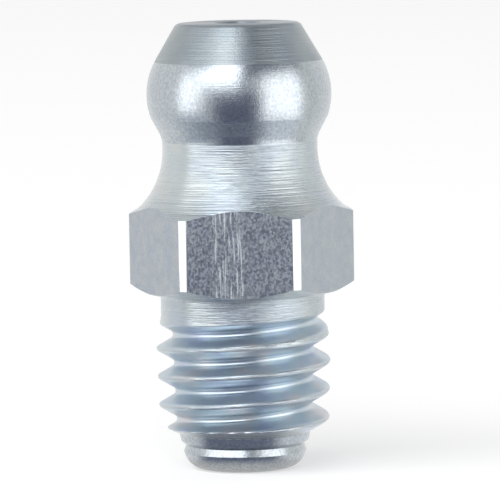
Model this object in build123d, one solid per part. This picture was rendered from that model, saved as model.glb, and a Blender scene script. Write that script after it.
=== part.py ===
from build123d import *
from math import acos, ceil, cos, degrees, pi, radians, sin, sqrt, tan
import os

# Straight cone-head grease nipple with an M6x1 short taper thread and a ball check valve.
# The origin is the centre of the hexagon's underside, the face that seats on the machine.
# +Z runs up the axis to the head, and two of the hexagon's flats face +Y and -Y.
# Lengths are millimetres, angles are degrees.

# Hexagon, left from the bar that the body is turned from
hex_across_flats = 7.0
hex_corner_flat = 0.26        # width of the narrow flat that breaks each corner
hex_shoulder_height = 2.94    # seat to the foot of the flare
hex_chamfer_angle = 30.0      # at both ends of the hexagon, from the seat plane
seat_ring_inside_flats = 0.05

# Flare and neck above the hexagon
flare_foot_beyond_flats = 0.13
flare_radius = 2.8
neck_land = 0.30              # straight stretch of the neck
neck_round_radius = 1.0
neck_crease_angle = 10.0      # slope at which the neck round meets the straight neck

# Head, the shape that a grease coupler grips
head_diameter = 6.5
head_undercut = 0.52          # depth of the neck behind the head's widest line
catch_angle = 28.0            # cone under the belt, from the axis
belt_round_radius = 2.45
belt_lower_angle = 19.0       # the belt's round ends this far below its widest line
lead_cone_angle = 28.5        # cone above the belt, from the axis
head_above_belt = 2.50        # widest line to the flat top
head_edge_radius = 0.25

# Threaded stub
stub_length = 6.3             # seat to the end of the nose
shank_diameter = 5.78
shank_length = 0.85
seat_corner_fill = 0.25       # 45 degree fill in the corner between the seat and the shank
thread_diameter = 6.0         # over the crests, at the gauge plane
thread_pitch = 1.0
thread_taper = 1 / 16         # on the diameter
gauge_plane_to_end = 1.8
crest_full_depth = 1.9        # seat to the first crest of full height
root_height_at_minus_x = -2.53
flank_angle = 30.0            # of each side of the groove
root_flat_width = 0.158
groove_rise_depth = 1.2       # seat to where the groove starts to rise out of the metal
groove_rise_turn = 150.0      # turn over which it rises
end_chamfer_angle = 65.0      # from the axis
pilot_diameter = 4.66         # plain neck between the thread and the nose
pilot_length = 0.29

# Nose, formed inwards to hold the spring
nose_diameter = 4.33
nose_round_radius = 0.75
nose_round_start = 10.0       # the nose round starts this far below the height of its centre
nose_groove_depth = 0.125
nose_groove_above_round = 0.11
nose_groove_to_pilot = 0.13
mouth_bevel = 0.15            # inner edge of the formed lip
lip_thickness = 0.55          # end of the nose to the floor that the spring stands on

# Check valve
ball_diameter = 2.38
ball_recess = 0.10            # top of the ball below the top of the head
seat_cone_angle = 45.0        # from the axis
seat_clearance = 0.015
ball_bore_clearance = 0.11    # radial, lets the grease past the ball
inlet_diameter = 1.4
inlet_countersink = 0.12
spring_wire_diameter = 0.28
spring_bore_clearance = 0.12  # radial
spring_active_turns = 5.0
spring_end_turns = 1.0        # closed turns at each end
spring_clearance = 0.02       # at the ball, at the floor and between closed turns
lip_under_spring = 0.18       # how far the lip reaches in under the spring's outside

# Sizes that follow from the ones above
flat_radius = hex_across_flats / 2
corner_radius = flat_radius / cos(pi / 6) - hex_corner_flat / 2 * tan(pi / 6)
head_radius = head_diameter / 2
neck_radius = head_radius - head_undercut
shank_radius = shank_diameter / 2
nose_radius = nose_diameter / 2
ball_radius = ball_diameter / 2
bore_radius = ball_radius + ball_bore_clearance
wire_radius = spring_wire_diameter / 2
spring_radius = bore_radius - spring_bore_clearance - wire_radius
outlet_radius = spring_radius + wire_radius - lip_under_spring
inlet_radius = inlet_diameter / 2
nose_end_z = -stub_length
lip_floor_z = nose_end_z + lip_thickness
nose_groove_z = nose_end_z + nose_round_radius + nose_groove_above_round
pilot_radius = pilot_diameter / 2
pilot_end_z = nose_groove_z + nose_groove_to_pilot
pilot_top_z = pilot_end_z + pilot_length

PAST_METAL = 0.1              # how far a cutting shape runs on beyond the metal
POINTS_PER_TURN = 12           # of the spring's wire
GROOVE_PIECES_PER_TURN = 3    # faces along the groove, short enough to mesh cleanly
POINTS_PER_PIECE = 4
WIRE_SIDES = 4                # the hidden wire's round section, with few faces


def on_circle(centre, radius, angle):
    """The point of a circle at an angle, in an outline's (r, z) plane."""
    return (centre[0] + radius * cos(radians(angle)), centre[1] + radius * sin(radians(angle)))


def arc(centre, radius, start_angle, end_angle):
    """An arc of an outline, from one angle to another."""
    angles = (start_angle, (start_angle + end_angle) / 2, end_angle)
    return ThreePointArc(*(on_circle(centre, radius, angle) for angle in angles))


def turned(*steps):
    """Turns a closed outline round the axis. A step is a point, or an arc of the outline."""
    edges = []
    first = last = None
    for step in steps:
        start, end = (step, step) if isinstance(step, tuple) else (step @ 0, step @ 1)
        if last is None:
            first = Vector(*start)
        elif (Vector(*start) - last).length > 1e-6:
            edges.append(Line(last, start))
        if not isinstance(step, tuple):
            edges.append(step)
        last = Vector(*end)
    edges.append(Line(last, first))
    return revolve(Plane.XZ * make_face(edges), Axis.Z)


def crest_radius(z):
    """Radius over the thread's crests at a height."""
    gauge_z = nose_end_z + gauge_plane_to_end
    return thread_diameter / 2 + (z - gauge_z) * thread_taper / 2


def turn_at(z):
    """Angle of turn at which the middle of the groove's root is at a height."""
    return 180 + 360 * (z - root_height_at_minus_x) / thread_pitch


# The thread's groove, from the nose up to where it has risen out of the metal
fundamental_height = thread_pitch / 2 / tan(radians(flank_angle))
groove_depth = 17 / 24 * fundamental_height
groove_past_crest = 0.08 * thread_pitch
first_groove_turn = turn_at(nose_groove_z)
rise_turn = turn_at(-groove_rise_depth)

# Heights of the body's outline, stacked upwards from the seat
flare_foot = (flat_radius + flare_foot_beyond_flats, hex_shoulder_height)
flare_sweep = degrees(acos((neck_radius + flare_radius - flare_foot[0]) / flare_radius))
flare_top_z = hex_shoulder_height + flare_radius * sin(radians(flare_sweep))
neck_top_z = flare_top_z + neck_land
neck_round_centre = (
    neck_radius + neck_round_radius * cos(radians(neck_crease_angle)),
    neck_top_z - neck_round_radius * sin(radians(neck_crease_angle)),
)
catch_foot = on_circle(neck_round_centre, neck_round_radius, 180 - catch_angle)
belt_centre_r = head_radius - belt_round_radius
catch_top_r = belt_centre_r + belt_round_radius * cos(radians(belt_lower_angle))
catch_top_z = catch_foot[1] + (catch_top_r - catch_foot[0]) / tan(radians(catch_angle))
belt_z = catch_top_z + belt_round_radius * sin(radians(belt_lower_angle))
belt_centre = (belt_centre_r, belt_z)
head_top_z = belt_z + head_above_belt

# Heights of the check valve, hung from the top of the head
ball_z = head_top_z - ball_recess - ball_radius
seat_apex_z = ball_z + (ball_radius + seat_clearance) / sin(radians(seat_cone_angle))


def head_and_neck():
    """Outline from the top of the head down the neck and the flare."""
    lead_foot = on_circle(belt_centre, belt_round_radius, lead_cone_angle)
    edge_z = head_top_z - head_edge_radius
    cone_r = lead_foot[0] - (edge_z - lead_foot[1]) * tan(radians(lead_cone_angle))
    edge_centre = (cone_r - head_edge_radius / cos(radians(lead_cone_angle)), edge_z)
    return (
        (0, head_top_z),
        arc(edge_centre, head_edge_radius, 90, lead_cone_angle),
        arc(belt_centre, belt_round_radius, lead_cone_angle, -belt_lower_angle),
        arc(neck_round_centre, neck_round_radius, 180 - catch_angle, 180 - neck_crease_angle),
        arc((neck_radius + flare_radius, flare_top_z), flare_radius, 180, 180 + flare_sweep),
    )


def hexagon_and_stub():
    """Outline from the hexagon's top chamfer down to the formed nose."""
    bar_radius = corner_radius + PAST_METAL
    seat_ring_radius = flat_radius - seat_ring_inside_flats
    slope = tan(radians(hex_chamfer_angle))
    chamfer_slope = tan(radians(end_chamfer_angle))
    nose_inset = nose_round_radius * cos(radians(nose_round_start))
    nose_centre = (nose_radius - nose_inset, nose_end_z + nose_round_radius)
    # the end chamfer runs up from the pilot until it meets the cone of the crests
    rise = (crest_radius(pilot_top_z) - pilot_radius) / (chamfer_slope - thread_taper / 2)
    return (
        (bar_radius, flare_foot[1] - (bar_radius - flare_foot[0]) * slope),
        (bar_radius, (bar_radius - seat_ring_radius) * slope),
        (seat_ring_radius, 0),
        (shank_radius + seat_corner_fill, 0),
        (shank_radius, -seat_corner_fill),
        (shank_radius, -shank_length),
        (crest_radius(-crest_full_depth), -crest_full_depth),
        (pilot_radius + rise * chamfer_slope, pilot_top_z + rise),
        (pilot_radius, pilot_top_z),
        (pilot_radius, pilot_end_z),
        (nose_radius - nose_groove_depth, nose_groove_z),
        arc(nose_centre, nose_round_radius, -nose_round_start, -90),
        (outlet_radius + mouth_bevel, nose_end_z),
        (outlet_radius, nose_end_z + mouth_bevel),
        (outlet_radius, lip_floor_z),
        (0, lip_floor_z),
    )


def hexagon_bar():
    """The bar that the body is turned from, with its corners broken."""
    corner_setback = hex_corner_flat / 2 / sin(pi / 3)
    section = RegularPolygon(flat_radius, 6, major_radius=False)
    section = chamfer(section.vertices(), corner_setback)
    length = head_top_z - nose_end_z + 2 * PAST_METAL
    return Pos(0, 0, nose_end_z - PAST_METAL) * extrude(section, length)


def valve_bore():
    """The spring's bore, the cone that the ball closes on, and the inlet."""
    slope = tan(radians(seat_cone_angle))
    sink_r = inlet_radius + inlet_countersink
    return turned(
        (0, lip_floor_z),
        (bore_radius, lip_floor_z),
        (bore_radius, seat_apex_z - bore_radius / slope),
        (inlet_radius, seat_apex_z - inlet_radius / slope),
        (inlet_radius, head_top_z - inlet_countersink),
        (sink_r + PAST_METAL, head_top_z + PAST_METAL),
        (0, head_top_z + PAST_METAL),
    )


def groove_point(turn, outwards, upwards):
    """A point beside the middle of the groove's root, at an angle of turn round the axis."""
    z = root_height_at_minus_x + thread_pitch * (turn - 180) / 360
    risen = max(0, turn - rise_turn) / groove_rise_turn
    rise = (groove_depth + PAST_METAL) * risen**2
    r = crest_radius(z) - groove_depth + rise + outwards
    return Vector(r * cos(radians(turn)), r * sin(radians(turn)), z + upwards)


def thread_groove():
    """The helical groove. Its faces run straight from corner to corner of its section."""
    opening = groove_depth + groove_past_crest
    root_half = root_flat_width / 2
    opening_half = root_half + opening * tan(radians(flank_angle))
    section = [(0, root_half), (opening, opening_half), (opening, -opening_half), (0, -root_half)]
    turned_through = rise_turn + groove_rise_turn - first_groove_turn
    pieces = ceil(turned_through * GROOVE_PIECES_PER_TURN / 360)
    count = pieces * POINTS_PER_PIECE
    turns = [first_groove_turn + turned_through * i / count for i in range(count + 1)]
    corners = [Spline([groove_point(turn, *corner) for turn in turns]) for corner in section]

    faces = []
    for corner, next_corner in zip(corners, corners[1:] + corners[:1]):
        for i in range(pieces):
            piece = (i / pieces, (i + 1) / pieces)
            faces.append(
                Face.make_surface_from_curves(corner.trim(*piece), next_corner.trim(*piece))
            )
    for end in (0, 1):
        faces.append(make_face(Polyline(*(corner @ end for corner in corners), close=True)))
    return Solid(Shell(faces))


def return_spring():
    """A compression spring with closed ends, from the lip's floor up to the ball."""
    bottom_z = lip_floor_z + spring_clearance + wire_radius
    reach = ball_radius + wire_radius + spring_clearance
    top_z = ball_z - sqrt(reach**2 - spring_radius**2)
    closed_pitch = spring_wire_diameter + spring_clearance
    span = top_z - bottom_z - 2 * spring_end_turns * closed_pitch
    turns_in_all = spring_active_turns + 2 * spring_end_turns

    def height(turn):
        open_turns = min(max(turn - spring_end_turns, 0), spring_active_turns)
        return bottom_z + (turn - open_turns) * closed_pitch + open_turns * span / spring_active_turns

    count = ceil(turns_in_all * POINTS_PER_TURN)
    turns = [turns_in_all * i / count for i in range(count + 1)]
    points = [
        Vector(spring_radius * cos(2 * pi * t), spring_radius * sin(2 * pi * t), height(t)) for t in turns
    ]
    path = Spline(points)
    section = Plane(path @ 0, z_dir=path % 0) * RegularPolygon(wire_radius, WIRE_SIDES)
    return sweep(section, path=path, is_frenet=True)


nipple_body = turned(*head_and_neck(), *hexagon_and_stub()) & hexagon_bar()
nipple_body = nipple_body - thread_groove() - valve_bore()
check_ball = Pos(0, 0, ball_z) * Sphere(ball_radius)

os.makedirs("parts", exist_ok=True)
export_step(nipple_body, "parts/nipple_body.step")
export_step(check_ball, "parts/check_ball.step")
export_step(return_spring(), "parts/return_spring.step")
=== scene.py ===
import math
import bmesh
import bpy
from mathutils import Matrix, Vector


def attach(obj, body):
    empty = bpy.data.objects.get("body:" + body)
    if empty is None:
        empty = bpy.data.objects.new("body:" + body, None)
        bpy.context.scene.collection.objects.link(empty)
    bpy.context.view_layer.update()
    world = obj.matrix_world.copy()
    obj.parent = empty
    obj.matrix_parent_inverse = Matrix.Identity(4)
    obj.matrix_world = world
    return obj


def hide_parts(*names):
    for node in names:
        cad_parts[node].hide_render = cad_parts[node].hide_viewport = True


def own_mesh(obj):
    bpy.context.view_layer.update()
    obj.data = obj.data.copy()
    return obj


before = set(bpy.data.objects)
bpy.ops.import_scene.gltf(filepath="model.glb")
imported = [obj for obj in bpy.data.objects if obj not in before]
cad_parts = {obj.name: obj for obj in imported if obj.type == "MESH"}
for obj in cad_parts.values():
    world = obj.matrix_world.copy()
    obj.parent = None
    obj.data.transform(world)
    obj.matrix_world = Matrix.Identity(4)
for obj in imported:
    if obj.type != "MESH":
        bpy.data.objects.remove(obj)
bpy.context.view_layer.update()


# --- Nipple body -----------------------------------------------------------------
# One piece of free-cutting steel bar: turned on a lathe, with the hexagon left from
# the bar, the taper thread rolled on the stub and the nose formed in over the spring.
# It is zinc plated and clear passivated, which gives the cool, slightly blue grey.

mm = 0.001                    # sizes are in millimetres, and heights are from the seat
LATHE_STEPS = 180             # divisions of the full turn
CREASE = 0.012                # spacing of the rings that hold a crease
CREASE_TURN = math.radians(6.5)               # a sharper turn of the outline is a corner

FLAT_R, CORNER_R, BAR_R = 3.5, 3.95, 4.12     # the hexagon, and the bar before it is cut
SEAT_RING_R, CHAMFER = 3.45, math.tan(math.radians(30))
SHANK_R, FILLET_R = 2.89, 0.25
NECK_FOOT_R, NECK_FOOT_Z = 3.63, 2.94
BELT_LOW_Z, BELT_HIGH_Z = 5.2967, 8.0945
CONE_TILT = 28.5              # degrees between the cone's side and the axis
HEAD_Z, HEAD_ROUND = 9.4255, 0.25
INLET_R, INLET_CHAMFER = 0.70, 0.12
BALL_SEAT_Z, BORE_R = 9.1397, 1.30
FLOOR_Z = -5.75               # the formed lip, which the spring stands on
OUTLET_R, OUTLET_CHAMFER = 1.0, 0.15
NOSE_Z, NOSE_ROUND = -6.30, 0.75
GROOVE_R, GROOVE_Z = 2.09, -5.44
PILOT_R, PILOT_TAPER = 2.33, 0.27             # where the thread ends, and narrower below
PILOT_TOP_Z, PILOT_LOW_Z = -5.02, -5.31
SHANK_CUT_Z, NOSE_CUT_Z = -0.30, -5.22        # between them the stub has its thread


def arc(centre, radius, start, end, steps):
    """Points of a turned round, as radius and height."""
    angles = [math.radians(start + (end - start) * i / steps) for i in range(steps + 1)]
    return [(centre[0] + radius * math.cos(a), centre[1] + radius * math.sin(a)) for a in angles]


def hold_corners(points):
    """Adds a point just before and after each corner, so that smooth shading keeps it."""
    held = [points[0]]
    for before, here, after in zip(points, points[1:], points[2:]):
        into = Vector(here) - Vector(before)
        out = Vector(after) - Vector(here)
        if into.angle(out) > CREASE_TURN and min(into.length, out.length) > 2.5 * CREASE:
            held.append(tuple(Vector(here) - into.normalized() * CREASE))
            held.append(here)
            held.append(tuple(Vector(here) + out.normalized() * CREASE))
        else:
            held.append(here)
    return held + [points[-1]]


turned_outline = (
    # corner at the shank, seat, and the hexagon's two chamfers
    arc((SHANK_R + FILLET_R, -FILLET_R), FILLET_R, 180, 90, 6)
    + [(SEAT_RING_R, 0), (BAR_R, (BAR_R - SEAT_RING_R) * CHAMFER)]
    + [(BAR_R, NECK_FOOT_Z - (BAR_R - NECK_FOOT_R) * CHAMFER)]
    # hollow neck, the corner under the belt, the belt, and the cone's rounded rim
    + arc((5.53, 4.9967), 2.8, 227.26, 180, 26)
    + arc((3.7148, 5.1230), 1.0, 170, 152, 6)
    + arc((0.80, 6.9255), 2.45, -19, CONE_TILT, 30)
    + arc((2.0313, HEAD_Z - HEAD_ROUND), HEAD_ROUND, CONE_TILT, 90, 8)
    # inlet, with the ball's seat under it
    + [(INLET_R + INLET_CHAMFER, HEAD_Z), (INLET_R, HEAD_Z - INLET_CHAMFER)]
    + [(INLET_R, BALL_SEAT_Z), (BORE_R, BALL_SEAT_Z - (BORE_R - INLET_R))]
    # bore, and the outlet through the formed lip
    + [(BORE_R, FLOOR_Z), (OUTLET_R, FLOOR_Z)]
    + [(OUTLET_R, NOSE_Z + OUTLET_CHAMFER), (OUTLET_R + OUTLET_CHAMFER, NOSE_Z)]
    # round nose, the groove above it, and the pilot below the thread
    + arc((1.4264, NOSE_Z + NOSE_ROUND), NOSE_ROUND, -90, -10, 16)
    + [(GROOVE_R, GROOVE_Z)]
    + [(PILOT_R - PILOT_TAPER * (PILOT_TOP_Z - z), z) for z in (PILOT_LOW_Z, NOSE_CUT_Z)]
)
turned_outline = [(SHANK_R, SHANK_CUT_Z)] + hold_corners(turned_outline)

steel = bmesh.new()
ring = [steel.verts.new((r * mm, 0, z * mm)) for r, z in turned_outline]
edges = [steel.edges.new(pair) for pair in zip(ring, ring[1:])]
bmesh.ops.spin(steel, geom=ring + edges, cent=(0, 0, 0), axis=(0, 0, 1), dvec=(0, 0, 0),
               angle=2 * math.pi, steps=LATHE_STEPS, use_merge=True)
bmesh.ops.remove_doubles(steel, verts=steel.verts, dist=1e-7)


def everything(shape):
    """A shape's points, edges and faces."""
    return shape.verts[:] + shape.edges[:] + shape.faces[:]


# the bar's six flats, then its six broken corners
for distance, first_angle in ((FLAT_R, 30), (CORNER_R, 0)):
    for side in range(6):
        angle = math.radians(first_angle + 60 * side)
        outwards = Vector((math.cos(angle), math.sin(angle), 0))
        cut = bmesh.ops.bisect_plane(steel, geom=everything(steel), dist=1e-8,
                                     plane_co=outwards * distance * mm, plane_no=outwards,
                                     clear_outer=True)
        cut_edges = [e for e in cut["geom_cut"] if isinstance(e, bmesh.types.BMEdge)]
        bmesh.ops.contextual_create(steel, geom=[e for e in cut_edges if len(e.link_faces) == 1])

# the surface's finishes, in the order of the materials
TURNED, FLAT, CORNER, BURNISHED, ROLLED, CONE = range(6)
UPRIGHT, ON_FLAT, PAST_FLAT = 0.02, 0.01, 0.1
flat_angles = [math.radians(30 + 60 * side) for side in range(3)]

steel.normal_update()
for face in steel.faces:
    middle = face.calc_center_median() / mm
    if abs(face.normal.z) > UPRIGHT or not 0 < middle.z < NECK_FOOT_Z:
        continue
    across = max(abs(middle.x * math.cos(a) + middle.y * math.sin(a)) for a in flat_angles)
    if abs(across - FLAT_R) < ON_FLAT:
        face.material_index = FLAT
    elif middle.to_2d().length > FLAT_R + PAST_FLAT:
        face.material_index = CORNER

CORNER_ROUND, EDGE_ROUND = 0.07, 0.03
SHARP_EDGE = 0.3              # radians that an edge turns through


def hexagon_edges():
    """The sharp edges round the hexagon's flats and corners."""
    return [e for e in steel.edges if len(e.link_faces) == 2 and e.calc_face_angle(0) > SHARP_EDGE
            and any(face.material_index != TURNED for face in e.link_faces)]


upright_edges = [e for e in hexagon_edges() if all(face.material_index != TURNED for face in e.link_faces)]
rounded = bmesh.ops.bevel(steel, geom=upright_edges, offset=CORNER_ROUND * mm, offset_type="OFFSET",
                          segments=4, profile=0.5, material=-1, affect="EDGES", clamp_overlap=True)
for face in rounded["faces"]:
    face.material_index = CORNER
bmesh.ops.bevel(steel, geom=hexagon_edges(), offset=EDGE_ROUND * mm, offset_type="OFFSET",
                segments=2, profile=0.5, material=-1, affect="EDGES", clamp_overlap=True)

# the rolled thread: one pitch of the stub's wall, spun up a helix
PITCH, TURNS, ROWS = 1.0, 7, 44
START_Z = NOSE_CUT_Z - PITCH - 0.3
ROOT_Z_AT_MINUS_X = -2.53
DEPTH, ROOT_ROUND, CREST_ROUND = 0.605, 0.15, 0.03
CREST_R, CREST_Z, CREST_TAPER = 3.0, -4.5, 1 / 32
SHANK_END_Z, THREAD_TOP_Z = -0.85, -1.9
FLANK_ANGLE, END_CHAMFER = math.radians(30), math.tan(math.radians(65))
RISE_FROM_Z, RISE_TURNS = -1.2, 150 / 360     # where the groove runs out, and in how much of a turn
RISE_PAST = 0.1               # how far its root ends above the crests


def crest_radius(z):
    """The thread's crests, which taper towards the nose."""
    return CREST_R + (z - CREST_Z) * CREST_TAPER


def blank_radius(z):
    """The stub before its thread is rolled: shank, taper and end chamfer."""
    if z > SHANK_END_Z:
        return SHANK_R
    if z > THREAD_TOP_Z:
        swell = (SHANK_END_Z - z) / (SHANK_END_Z - THREAD_TOP_Z)
        return SHANK_R + (crest_radius(THREAD_TOP_Z) - SHANK_R) * swell
    widening = END_CHAMFER if z > PILOT_TOP_Z else PILOT_TAPER
    return min(crest_radius(z), PILOT_R + (z - PILOT_TOP_Z) * widening)


def groove_wall(off):
    """How far the groove's wall stands above its root: a round, then a straight flank."""
    off, reach = abs(off), ROOT_ROUND * math.cos(FLANK_ANGLE)
    if off < reach:
        return ROOT_ROUND - math.sqrt(ROOT_ROUND ** 2 - off ** 2)
    return ROOT_ROUND / 2 + (off - reach) / math.tan(FLANK_ANGLE)


def thread_radius(angle, z):
    """Radius of the stub's wall. The groove's root climbs one pitch a turn."""
    turned = angle / (2 * math.pi) - 0.5
    nearest = round((z - ROOT_Z_AT_MINUS_X) / PITCH - turned)
    lowest = blank_radius(z)
    for turn in (nearest - 1, nearest, nearest + 1):
        root_z = ROOT_Z_AT_MINUS_X + PITCH * (turn + turned)
        risen = max(0.0, (root_z - RISE_FROM_Z) / (PITCH * RISE_TURNS))
        root = crest_radius(root_z) - DEPTH + (DEPTH + RISE_PAST) * risen ** 2
        wall = root + groove_wall(z - root_z)
        meeting = max(0.0, 1 - abs(wall - lowest) / (4 * CREST_ROUND))
        lowest = min(wall, lowest) - meeting * meeting * CREST_ROUND
    return lowest


stub = bmesh.new()
column = [stub.verts.new((SHANK_R * mm, 0, (START_Z + PITCH * i / ROWS) * mm)) for i in range(ROWS + 1)]
edges = [stub.edges.new(pair) for pair in zip(column, column[1:])]
bmesh.ops.spin(stub, geom=column + edges, cent=(0, 0, 0), axis=(0, 0, 1),
               dvec=(0, 0, PITCH * mm / LATHE_STEPS), angle=2 * math.pi,
               steps=LATHE_STEPS, use_merge=False)
one_turn = everything(stub)
for turn in range(1, TURNS):
    copied = bmesh.ops.duplicate(stub, geom=one_turn)["geom"]
    bmesh.ops.translate(stub, verts=[v for v in copied if isinstance(v, bmesh.types.BMVert)],
                        vec=(0, 0, PITCH * turn * mm))
bmesh.ops.remove_doubles(stub, verts=stub.verts, dist=2e-7)
JOINT_ABOVE, JOINT_BELOW = 0.02, 0.01         # what the joints to the turned body take up
for height, outwards in ((SHANK_CUT_Z - JOINT_ABOVE, 1), (NOSE_CUT_Z + JOINT_BELOW, -1)):
    bmesh.ops.bisect_plane(stub, geom=everything(stub), dist=1e-8, plane_co=(0, 0, height * mm),
                           plane_no=(0, 0, outwards), clear_outer=True)
for point in stub.verts:
    angle = math.atan2(point.co.y, point.co.x)
    radius = thread_radius(angle, point.co.z / mm) * mm
    point.co.x = radius * math.cos(angle)
    point.co.y = radius * math.sin(angle)

# the stub's wall joins the turned body at both cuts
stub_mesh = bpy.data.meshes.new("stub")
stub.to_mesh(stub_mesh)
stub.free()
steel.from_mesh(stub_mesh)
bpy.data.meshes.remove(stub_mesh)
NEAR_CUT = 0.04               # reaches the open rims on both sides of a joint
for height in (SHANK_CUT_Z, NOSE_CUT_Z):
    rims = [e for e in steel.edges if len(e.link_faces) == 1
            and all(abs(v.co.z / mm - height) < NEAR_CUT for v in e.verts)]
    bmesh.ops.bridge_loops(steel, edges=rims)
bmesh.ops.recalc_face_normals(steel, faces=steel.faces)

# the belt and the nose are burnished, the thread is rolled, and the cone is turned coarser
NOSE_FROM_Z = -5.0
IN_GROOVE = 0.015             # how far below the blank's wall the rolled finish begins
for face in steel.faces:
    middle = face.calc_center_median() / mm
    if face.material_index != TURNED:
        continue
    if BELT_LOW_Z < middle.z < BELT_HIGH_Z or middle.z < NOSE_FROM_Z:
        face.material_index = BURNISHED
    elif middle.z > BELT_HIGH_Z:
        face.material_index = CONE
    elif middle.z < SHANK_END_Z and middle.to_2d().length < blank_radius(middle.z) - IN_GROOVE:
        face.material_index = ROLLED


def finished(shape, name):
    """Makes the shape an object of that name, smooth all over."""
    mesh = bpy.data.meshes.new(name)
    shape.to_mesh(mesh)
    shape.free()
    mesh.shade_smooth()
    thing = bpy.data.objects.new(name, mesh)
    bpy.context.collection.objects.link(thing)
    return thing


body = finished(steel, "nipple_steel")
CREASED_FROM = math.radians(32)
body.data.set_sharp_from_angle(angle=CREASED_FROM)
BROAD_FACE = 0.3 * mm * mm    # the hexagon's own faces are larger, and stay dead flat
for face in body.data.polygons:
    if face.material_index in (FLAT, CORNER) and face.area > BROAD_FACE:
        face.use_smooth = False


def new_metal(name, colour=None, anisotropy=0.0):
    """A metal surface, with the object's own coordinates at hand."""
    material = bpy.data.materials.new(name)
    material.use_nodes = True
    nodes = material.node_tree.nodes
    nodes.new("ShaderNodeTexCoord").name = "place"
    shader = nodes["Principled BSDF"]
    shader.inputs["Metallic"].default_value = 1.0
    if colour:
        shader.inputs["Base Color"].default_value = (*colour, 1)
    if anisotropy:
        shader.inputs["Anisotropic"].default_value = anisotropy
        shader.inputs["Anisotropic Rotation"].default_value = 0.25
    return material


def surface(material, name):
    """A socket of the metal's shader."""
    return material.node_tree.nodes["Principled BSDF"].inputs[name]


def grain(material, stretch, fineness, detail=3.0, shift=(0, 0, 0)):
    """Noise on the object, in grains per metre. A stretch below 1 lengthens them along that axis."""
    nodes, links = material.node_tree.nodes, material.node_tree.links
    mapping = nodes.new("ShaderNodeMapping")
    mapping.inputs["Scale"].default_value = stretch
    mapping.inputs["Location"].default_value = shift
    noise = nodes.new("ShaderNodeTexNoise")
    noise.inputs["Scale"].default_value = fineness
    noise.inputs["Detail"].default_value = detail
    links.new(nodes["place"].outputs["Object"], mapping.inputs["Vector"])
    links.new(mapping.outputs["Vector"], noise.inputs["Vector"])
    return noise.outputs["Fac"]


def ramp(tree, source, *stops):
    """Turns a grey value into colours, each given with its position."""
    node = tree.nodes.new("ShaderNodeValToRGB")
    elements = node.color_ramp.elements
    while len(elements) < len(stops):
        elements.new(0.5)
    for element, (position, colour) in zip(elements, stops):
        element.position = position
        element.color = (*colour, 1)
    tree.links.new(source, node.inputs["Fac"])
    return node.outputs["Color"]


def calculated(tree, operation, *values):
    """What a sum gives, on values that are each a number or another node's output."""
    node = tree.nodes.new("ShaderNodeMath")
    node.operation = operation
    for socket, value in zip(node.inputs, values):
        if isinstance(value, bpy.types.NodeSocket):
            tree.links.new(value, socket)
        else:
            socket.default_value = value
    return node.outputs[0]


def grey(material, source, low, high):
    """Spreads a noise between two grey levels, each given as position and level."""
    return ramp(material.node_tree, source, *((position, (level,) * 3) for position, level in (low, high)))


def roughened(material, source):
    """Gives the metal's shader its roughness."""
    material.node_tree.links.new(source, surface(material, "Roughness"))


def bump(material, height, strength, distance):
    """Gives the metal's shader its fine relief."""
    nodes, links = material.node_tree.nodes, material.node_tree.links
    node = nodes.new("ShaderNodeBump")
    node.inputs["Strength"].default_value = strength
    node.inputs["Distance"].default_value = distance
    links.new(height, node.inputs["Height"])
    links.new(node.outputs["Normal"], surface(material, "Normal"))


def tint(material, fineness, *colours):
    """The passivated zinc's colour, which drifts a little over the surface."""
    cloud = grain(material, (1, 1, 1), fineness)
    first, last = 0.34, 0.66
    spacing = (last - first) / (len(colours) - 1)
    stops = [(first + spacing * i, colour) for i, colour in enumerate(colours)]
    film = ramp(material.node_tree, cloud, *stops)
    material.node_tree.links.new(film, surface(material, "Base Color"))
    return film


def lathe_finish(material, smooth, rough, depth, speckle=0.0):
    """Fine rings round the axis, which spread a reflection up and down."""
    rings = grain(material, (0.014, 0.014, 1.0), fineness=24000, detail=4.0)
    if speckle:
        spots = grain(material, (1, 1, 1), fineness=17000)
        rings = calculated(material.node_tree, "MULTIPLY_ADD", spots, speckle, rings)
    roughened(material, grey(material, rings, (0.3, smooth), (0.7, rough)))
    bump(material, rings, strength=0.5, distance=depth)
    around = material.node_tree.nodes.new("ShaderNodeTangent")
    around.direction_type = "RADIAL"
    around.axis = "Z"
    material.node_tree.links.new(around.outputs["Tangent"], surface(material, "Tangent"))


zinc_turned = new_metal("zinc_turned", anisotropy=0.8)
tint(zinc_turned, 700, (0.49, 0.54, 0.59), (0.53, 0.58, 0.60), (0.57, 0.60, 0.60))
lathe_finish(zinc_turned, smooth=0.22, rough=0.34, depth=0.00010)

# the flats keep the bar's drawn skin, pitted, with a strip of scuffs rubbed bright
RUBBED_X, RUBBED_HALF_WIDTH = -0.40, 0.56
RUBBED_ZINC = (0.72, 0.75, 0.76, 1)
zinc_flats = new_metal("zinc_flats")
flats = zinc_flats.node_tree
film = tint(zinc_flats, 3000, (0.41, 0.45, 0.50), (0.47, 0.50, 0.52))
pits = grain(zinc_flats, (1, 1, 0.8), fineness=15000, detail=2.0)
drawn = grain(zinc_flats, (1, 1, 0.05), fineness=16000, shift=(0.0016, 0, 0))
sides = flats.nodes.new("ShaderNodeSeparateXYZ")
flats.links.new(flats.nodes["place"].outputs["Object"], sides.inputs[0])
strip = calculated(flats, "COMPARE", sides.outputs["X"], RUBBED_X * mm, RUBBED_HALF_WIDTH * mm)
scuffed = calculated(flats, "MULTIPLY", strip, grey(zinc_flats, drawn, (0.46, 0.0), (0.62, 0.80)))
pitted = grey(zinc_flats, pits, (0.38, 0.30), (0.66, 0.58))
roughened(zinc_flats, calculated(flats, "MAXIMUM", pitted, scuffed))
rubbed = flats.nodes.new("ShaderNodeMixRGB")
rubbed.inputs["Color2"].default_value = RUBBED_ZINC
flats.links.new(film, rubbed.inputs["Color1"])
flats.links.new(scuffed, rubbed.inputs["Fac"])
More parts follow.
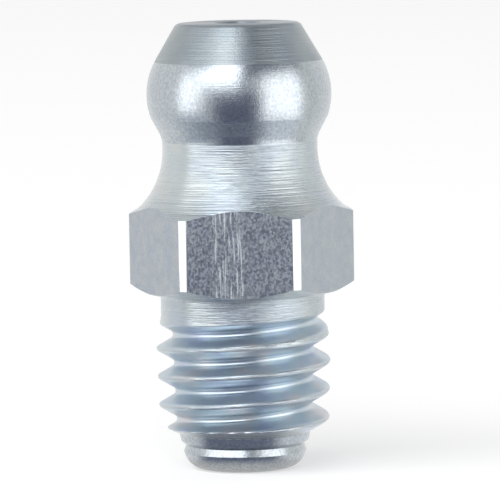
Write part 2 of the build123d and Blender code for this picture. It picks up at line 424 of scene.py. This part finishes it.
flats.links.new(rubbed.outputs["Color"], surface(zinc_flats, "Base Color"))
bump(zinc_flats, pits, strength=0.2, distance=0.000004)

zinc_corners = new_metal("zinc_corners", colour=(0.55, 0.58, 0.60))
wear = grain(zinc_corners, (1, 1, 0.2), fineness=2500)
roughened(zinc_corners, grey(zinc_corners, wear, (0.3, 0.16), (0.7, 0.28)))

zinc_burnished = new_metal("zinc_burnished", anisotropy=0.5)
tint(zinc_burnished, 10000, (0.40, 0.44, 0.49), (0.53, 0.57, 0.58))
lathe_finish(zinc_burnished, smooth=0.15, rough=0.27, depth=0.000008, speckle=1.2)

zinc_rolled = new_metal("zinc_rolled")
tint(zinc_rolled, 800, (0.52, 0.57, 0.68), (0.54, 0.63, 0.68), (0.64, 0.64, 0.67))
wear = grain(zinc_rolled, (0.1, 0.1, 1), fineness=7000)
roughened(zinc_rolled, grey(zinc_rolled, wear, (0.3, 0.28), (0.7, 0.40)))

zinc_cone = new_metal("zinc_cone", anisotropy=0.6)
tint(zinc_cone, 700, (0.30, 0.34, 0.38), (0.36, 0.40, 0.41))
lathe_finish(zinc_cone, smooth=0.26, rough=0.38, depth=0.00004, speckle=0.4)

for finish in (zinc_turned, zinc_flats, zinc_corners, zinc_burnished, zinc_rolled, zinc_cone):
    body.data.materials.append(finish)
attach(body, "body")
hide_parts("nipple_body")


# --- Check ball --------------------------------------------------------------------
# A hardened steel bearing ball, ground and polished. It closes the inlet from inside,
# and only its top shows through the hole in the head.

BALL_R, BALL_Z = 1.19, 8.1355
sphere = bmesh.new()
bmesh.ops.create_icosphere(sphere, subdivisions=5, radius=BALL_R * mm)
bmesh.ops.translate(sphere, verts=sphere.verts, vec=(0, 0, BALL_Z * mm))
ball = finished(sphere, "ball_polished")

ball_steel = new_metal("ball_steel", colour=(0.70, 0.71, 0.73))
smears = grain(ball_steel, (1, 1, 1), fineness=1500)
roughened(ball_steel, grey(ball_steel, smears, (0.3, 0.07), (0.75, 0.22)))
ball.data.materials.append(ball_steel)
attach(ball, "ball")
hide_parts("check_ball")


# --- Return spring -----------------------------------------------------------------
# A compression spring coiled from round spring wire, with a closed turn at each end.
# It stands on the formed lip of the nose and pushes the ball up into its seat.

WIRE_R, COIL_R, CLEARANCE = 0.14, 1.04, 0.02
STEPS_PER_TURN, WIRE_SIDES = 60, 14
CLOSED_PITCH, ACTIVE_TURNS = 0.30, 5
spring_low = FLOOR_Z + CLEARANCE + WIRE_R
spring_high = BALL_Z - math.sqrt((BALL_R + WIRE_R + CLEARANCE) ** 2 - COIL_R ** 2)
active_pitch = (spring_high - spring_low - 2 * CLOSED_PITCH) / ACTIVE_TURNS

coil = bmesh.new()
wire = bmesh.ops.create_circle(coil, segments=WIRE_SIDES, radius=WIRE_R * mm)["verts"]
bmesh.ops.rotate(coil, verts=wire, cent=(0, 0, 0), matrix=Matrix.Rotation(math.radians(90), 3, "X"))
bmesh.ops.translate(coil, verts=wire, vec=(COIL_R * mm, 0, spring_low * mm))
bmesh.ops.contextual_create(coil, geom=coil.edges[:])
front = coil.verts[:] + coil.edges[:]
for pitch, turns in ((CLOSED_PITCH, 1), (active_pitch, ACTIVE_TURNS), (CLOSED_PITCH, 1)):
    spun = bmesh.ops.spin(coil, geom=front, cent=(0, 0, 0), axis=(0, 0, 1),
                          dvec=(0, 0, pitch * mm / STEPS_PER_TURN), angle=2 * math.pi * turns,
                          steps=STEPS_PER_TURN * turns, use_merge=False)
    front = spun["geom_last"]
bmesh.ops.contextual_create(coil, geom=[e for e in front if isinstance(e, bmesh.types.BMEdge)])
bmesh.ops.recalc_face_normals(coil, faces=coil.faces)
spring = finished(coil, "spring_coil")

spring_steel = new_metal("spring_steel", colour=(0.45, 0.46, 0.48))
drawn_wire = grain(spring_steel, (1, 1, 1), fineness=5000)
roughened(spring_steel, grey(spring_steel, drawn_wire, (0.3, 0.22), (0.7, 0.42)))
spring.data.materials.append(spring_steel)
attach(spring, "body")
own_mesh(spring)
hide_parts("return_spring")


# --- Floor, light and camera -------------------------------------------------------
# A white table in a white tent, with a soft box on each side and one above the front.
# The dark side of the tent is the opening that the camera looks in through.

WHITE = (1, 1, 1, 1)
PAPER_GREY, PAPER_GLOW = (0.56, 0.56, 0.56, 1), 0.51
TABLE_HALF_WIDTH, TABLE_GAP = 4000, 0.002
table_top = bmesh.new()
bmesh.ops.create_grid(table_top, x_segments=2, y_segments=2, size=TABLE_HALF_WIDTH * mm)
bmesh.ops.translate(table_top, verts=table_top.verts, vec=(0, 0, (NOSE_Z - TABLE_GAP) * mm))
floor = finished(table_top, "floor")


def seen_by(tree, rays, shown, otherwise):
    """Mixes two shaders by who looks: these kinds of ray see one, and all others the other."""
    path = tree.nodes.new("ShaderNodeLightPath")
    looks = path.outputs[rays[0]]
    for ray in rays[1:]:
        looks = calculated(tree, "MAXIMUM", looks, path.outputs[ray])
    pick = tree.nodes.new("ShaderNodeMixShader")
    tree.links.new(looks, pick.inputs["Fac"])
    tree.links.new(otherwise.outputs[0], pick.inputs[1])
    tree.links.new(shown.outputs[0], pick.inputs[2])
    return pick


# white paper, with a glow that only the camera, a reflection or a glass sees
paper = bpy.data.materials.new("white_paper")
paper.use_nodes = True
tree = paper.node_tree
tree.nodes.clear()
lit = tree.nodes.new("ShaderNodeBsdfDiffuse")
lit.inputs["Color"].default_value = PAPER_GREY
glow = tree.nodes.new("ShaderNodeEmission")
glow.inputs["Strength"].default_value = PAPER_GLOW
bright = tree.nodes.new("ShaderNodeAddShader")
tree.links.new(lit.outputs[0], bright.inputs[0])
tree.links.new(glow.outputs[0], bright.inputs[1])
paper_seen = seen_by(tree, ("Is Camera Ray", "Is Glossy Ray", "Is Transmission Ray"), bright, lit)
out = tree.nodes.new("ShaderNodeOutputMaterial")
tree.links.new(paper_seen.outputs[0], out.inputs["Surface"])
floor.data.materials.append(paper)


def sky_angles(tree, place, seen_from):
    """Azimuth from the camera's side, to the right, and elevation, both in radians."""
    away, unit = (tree.nodes.new("ShaderNodeVectorMath") for _ in range(2))
    away.operation = "SUBTRACT"
    unit.operation = "NORMALIZE"
    away.inputs[1].default_value = seen_from
    parts = tree.nodes.new("ShaderNodeSeparateXYZ")
    tree.links.new(place, away.inputs[0])
    tree.links.new(away.outputs[0], unit.inputs[0])
    tree.links.new(unit.outputs[0], parts.inputs[0])
    towards_camera = calculated(tree, "MULTIPLY", parts.outputs["Y"], -1)
    azimuth = calculated(tree, "ARCTAN2", parts.outputs["X"], towards_camera)
    elevation = calculated(tree, "ARCSINE", parts.outputs["Z"])
    return azimuth, elevation


def soft_step(tree, angle, edge, before, after):
    """Turns one value into another across a panel's edge, given as angle and softness in degrees."""
    at, softness = edge
    step = tree.nodes.new("ShaderNodeMapRange")
    step.interpolation_type = "SMOOTHSTEP"
    step.inputs["From Min"].default_value = math.radians(at - softness)
    step.inputs["From Max"].default_value = math.radians(at + softness)
    step.inputs["To Min"].default_value = before
    step.inputs["To Max"].default_value = after
    tree.links.new(angle, step.inputs["Value"])
    return step.outputs["Result"]


# each panel's left, right, low and high edge, as angle and softness in degrees, and its colour
TENT_PANELS = (
    ((-190, 1), (190, 1), (74, 6), (100, 1), (0.35, 0.37, 0.42)),             # top opening
    ((-190, 1), (190, 1), (-100, 1), (-80, 2), (0.74, 0.71, 0.69)),           # table at the foot, greyed: painted shadow under the object
    ((145, 14), (190, 1), (26, 8), (60, 12), (0.40, 0.42, 0.47)),             # back, right half
    ((-190, 1), (-150, 14), (26, 8), (60, 12), (0.40, 0.42, 0.47)),           # back, left half
    ((90, 6), (118, 8), (-40, 8), (60, 10), (0.84, 0.86, 0.84)),              # right wall
    ((-95, 12), (-38, 4), (-70, 8), (-22, 10), (0.60, 0.64, 0.70)),           # table, left, darkened: painted shade
    ((25, 4), (92, 12), (-70, 8), (-32, 10), (0.90, 0.94, 1.00)),             # table, right
    ((-72, 8), (48, 8), (-61, 5), (-48, 12), (0.17, 0.19, 0.26)),             # table, close in front: painted shade
    ((-62, 14), (48, 16), (-80, 2), (-68, 3), (0.17, 0.19, 0.27)),            # table, under the nose: painted shadow
    ((-61, 9), (3, 3), (17, 13), (50, 6), (3.0, 3.05, 3.1)),                  # upper box
    ((-105, 10), (-46, 8), (39, 6), (80, 4), (0.72, 0.77, 0.82)),             # upper left wall
    ((-42, 9), (3, 3), (44, 7), (74, 4), (2.9, 2.95, 3.0)),                   # upper box, its upper half
    ((8, 6), (105, 10), (29, 6), (78, 6), (0.19, 0.21, 0.25)),                # flap over the right box
    ((-79, 3), (-51, 13), (-19, 4), (30, 3), (2.3, 2.3, 2.3)),                # left box
    ((32, 10), (84, 8), (-29, 8), (32, 7), (2.2, 2.2, 2.2)),                  # right box
    ((-35, 15), (27, 7), (-60, 5), (11, 9), (0.15, 0.165, 0.235)),            # camera's opening; below the horizon, painted shade on the table in front
    ((2, 3), (12, 4), (10, 2), (38, 6), (0.34, 0.36, 0.42)),                  # seam above it
)


def tent_colour(tree, place, seen_from=(0, 0, 0)):
    """What the tent and the table look like from the object, by direction, with painted shade on the table
    round the nose.
    """
    azimuth, elevation = sky_angles(tree, place, seen_from)
    cloth = tree.nodes.new("ShaderNodeRGB")
    cloth.outputs[0].default_value = WHITE
    tent = cloth.outputs[0]
    for left, right, low, high, colour in TENT_PANELS:
        cover = soft_step(tree, azimuth, left, 0, 1)
        for angle, edge, before, after in ((azimuth, right, 1, 0), (elevation, low, 0, 1),
                                           (elevation, high, 1, 0)):
            cover = calculated(tree, "MULTIPLY", cover, soft_step(tree, angle, edge, before, after))
        laid = tree.nodes.new("ShaderNodeMixRGB")
        laid.inputs["Color2"].default_value = (*colour, 1)
        tree.links.new(cover, laid.inputs["Fac"])
        tree.links.new(tent, laid.inputs["Color1"])
        tent = laid.outputs["Color"]
    return tent


# the room's light is even and dim, metal and glass see the tent, and the camera sees white
ROOM_LIGHT = 0.45
world = bpy.data.worlds.new("tent")
bpy.context.scene.world = world
world.use_nodes = True
tree = world.node_tree
tree.nodes.clear()
room, tent, backdrop = (tree.nodes.new("ShaderNodeBackground") for _ in range(3))
room.inputs["Color"].default_value = WHITE
room.inputs["Strength"].default_value = ROOM_LIGHT
backdrop.inputs["Color"].default_value = WHITE
direction = tree.nodes.new("ShaderNodeTexCoord").outputs["Generated"]
tree.links.new(tent_colour(tree, direction), tent.inputs["Color"])
mirrored = seen_by(tree, ("Is Glossy Ray", "Is Transmission Ray"), tent, room)
world_seen = seen_by(tree, ("Is Camera Ray",), backdrop, mirrored)
out = tree.nodes.new("ShaderNodeOutputWorld")
tree.links.new(world_seen.outputs[0], out.inputs["Surface"])

# the table as the metal reflects it, painted: the tent's lower panels, with the boxes' glow and the
# painted shade under and in front of the nose, laid out round the nose as the head would see them,
# on a glowing card that only reflections show
CARD_HOLE_R, CARD_R, CARD_GAP = 1.65, 1000, 0.02
HEAD_MIDDLE_Z = 7
card = bmesh.new()
for radius in (CARD_HOLE_R, CARD_R):
    bmesh.ops.create_circle(card, segments=96, radius=radius * mm)
bmesh.ops.bridge_loops(card, edges=card.edges[:])
bmesh.ops.translate(card, verts=card.verts, vec=(0, 0, (NOSE_Z + CARD_GAP) * mm))
painted_table_reflection = finished(card, "painted_table_reflection")
reflected_table = bpy.data.materials.new("painted_table_reflection")
reflected_table.use_nodes = True
tree = reflected_table.node_tree
tree.nodes.clear()
# painted reflection and painted shade: the card glows with the tent's colours, though it is no lamp
shade = tree.nodes.new("ShaderNodeEmission")
place = tree.nodes.new("ShaderNodeTexCoord").outputs["Object"]
tree.links.new(tent_colour(tree, place, (0, 0, HEAD_MIDDLE_Z * mm)), shade.inputs["Color"])
out = tree.nodes.new("ShaderNodeOutputMaterial")
tree.links.new(shade.outputs[0], out.inputs["Surface"])
painted_table_reflection.data.materials.append(reflected_table)
painted_table_reflection.visible_camera = False
painted_table_reflection.visible_shadow = False
painted_table_reflection.visible_diffuse = False

# the upper box, which lights the table from the left of the camera; the metal sees its panel
BOX_WIDTH, BOX_HEIGHT, BOX_DISTANCE = 2.0, 0.74, 1.4      # metres
BOX_STRENGTH = 4.0 * math.pi                  # watts for each square metre
light = bpy.data.lights.new("upper_box", "AREA")
light.shape = "RECTANGLE"
light.size = BOX_WIDTH
light.size_y = BOX_HEIGHT
light.energy = BOX_STRENGTH * BOX_WIDTH * BOX_HEIGHT
upper_box = bpy.data.objects.new("upper_box", light)
azimuth, elevation = math.radians(-35), math.radians(42)
to_box = Vector((math.sin(azimuth) * math.cos(elevation),
                 -math.cos(azimuth) * math.cos(elevation),
                 math.sin(elevation)))
facing_nipple = to_box.to_track_quat("Z", "Y").to_matrix().to_4x4()
upper_box.matrix_world = Matrix.Translation(to_box * BOX_DISTANCE) @ facing_nipple
upper_box.visible_glossy = False
bpy.context.collection.objects.link(upper_box)

# a long lens, a little above the head and looking slightly down
SENSOR = 36
FOCAL_LENGTH, FRAME = 4845, 500               # in the frame's own units
CAMERA_AWAY, CAMERA_UP = 170, 17.2
AROUND, DOWN, ASIDE = 1.2, 5.31, -0.098       # degrees
ROLL = -0.0179                                # radians
camera = bpy.data.cameras.new("camera")
camera.sensor_width = SENSOR
camera.lens = SENSOR * FOCAL_LENGTH / FRAME
camera_object = bpy.data.objects.new("camera", camera)
bpy.context.collection.objects.link(camera_object)
camera_object.matrix_world = (
    Matrix.Rotation(math.radians(AROUND), 4, "Z")
    @ Matrix.Translation((0, -CAMERA_AWAY * mm, CAMERA_UP * mm))
    @ Matrix.Rotation(math.radians(ASIDE), 4, "Z")
    @ Matrix.Rotation(math.radians(90 - DOWN), 4, "X")
    @ Matrix.Rotation(ROLL, 4, "Z")
)
bpy.context.scene.camera = camera_object
bpy.context.scene.view_settings.view_transform = "Standard"
